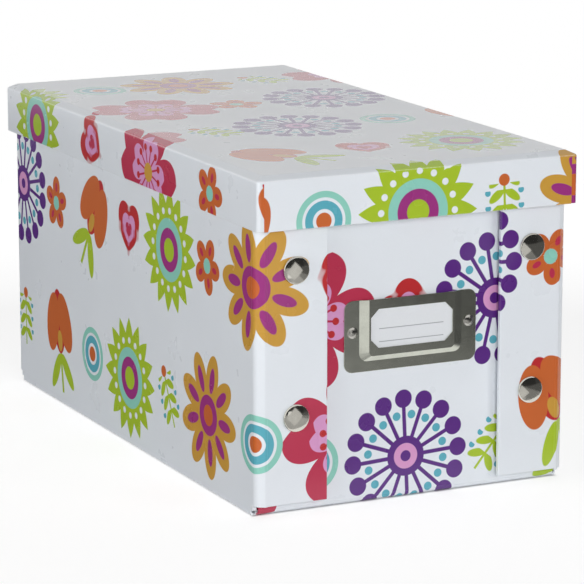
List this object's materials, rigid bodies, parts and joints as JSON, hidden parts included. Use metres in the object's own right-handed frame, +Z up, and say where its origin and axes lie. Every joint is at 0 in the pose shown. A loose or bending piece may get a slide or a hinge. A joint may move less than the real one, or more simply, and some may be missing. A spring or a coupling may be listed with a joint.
{
  "type": "cd storage box",
  "caption": "Paper-covered board box for upright compact disc cases, with ends that snap to corner flaps, a riveted label holder and a lift-off lid.",
  "frame": {"origin": "on the floor under the middle of the box, which is the middle of the lid's outline", "axes": "+Z up, +Y along the box's length away from the end with the label holder, +X to the right as seen facing that end"},
  "size_m": [0.1616, 0.3042, 0.1556],
  "materials": {
    "printed_board": "white coated paper with a bright floral print over grey board, satin",
    "printed_paper": "the same printed paper, folded, satin",
    "white_lining": "plain white, matt",
    "bright_nickel": "polished nickel plate on steel",
    "snap_steel": "nickel plate on steel, satin",
    "label_steel": "stamped steel, dull satin",
    "white_card": "plain card, matt"
  },
  "bodies": {
    "tray": {"base_board": "printed_board", "left_side_board": "printed_board", "right_side_board": "printed_board", "front_left_flap": "printed_board", "front_left_flap_fold": "printed_paper", "front_left_snap_caps": "bright_nickel", "front_left_snap_sockets": "snap_steel", "front_right_flap": "printed_board", "front_right_flap_fold": "printed_paper", "front_right_snap_caps": "bright_nickel", "front_right_snap_sockets": "snap_steel", "back_left_flap": "printed_board", "back_left_flap_fold": "printed_paper", "back_left_snap_caps": "bright_nickel", "back_left_snap_sockets": "snap_steel", "back_right_flap": "printed_board", "back_right_flap_fold": "printed_paper", "back_right_snap_caps": "bright_nickel", "back_right_snap_sockets": "snap_steel", "left_base_fold": "printed_paper", "right_base_fold": "printed_paper", "base_lining": "white_lining", "left_side_lining": "white_lining", "right_side_lining": "white_lining"},
    "front_end": {"front_end_board": "printed_board", "front_end_lining": "white_lining", "front_base_fold": "printed_paper", "front_snap_studs": "snap_steel", "front_snap_posts": "bright_nickel", "label_holder": "label_steel", "label_rivets": "bright_nickel"},
    "back_end": {"back_end_board": "printed_board", "back_end_lining": "white_lining", "back_base_fold": "printed_paper", "back_snap_studs": "snap_steel", "back_snap_posts": "bright_nickel"},
    "label_card": {"label_card": "white_card"},
    "lid": {"lid_lining": "white_lining", "lid_top_board": "printed_board", "lid_front_skirt": "printed_board", "lid_front_fold": "printed_paper", "lid_back_skirt": "printed_board", "lid_back_fold": "printed_paper", "lid_left_skirt": "printed_board", "lid_left_fold": "printed_paper", "lid_right_skirt": "printed_board", "lid_right_fold": "printed_paper"}
  },
  "joints": [
    {"name": "lid_lift", "type": "slide", "parent": "tray", "child": "lid", "axis": [0, 0, 1], "range_m": [0, 0.16]},
    {"name": "front_end_fold", "type": "hinge", "parent": "tray", "child": "front_end", "pos_m": [0, -0.1396, 0.0026], "axis": [-1, 0, 0], "range_deg": [0, 90], "deforming": ["front_base_fold"]},
    {"name": "back_end_fold", "type": "hinge", "parent": "tray", "child": "back_end", "pos_m": [0, 0.1396, 0.0026], "axis": [1, 0, 0], "range_deg": [0, 88.5], "deforming": ["back_base_fold"]},
    {"name": "label_card_slide", "type": "slide", "parent": "front_end", "child": "label_card", "axis": [0, 0, 1], "range_m": [0, 0.027]}
  ]
}
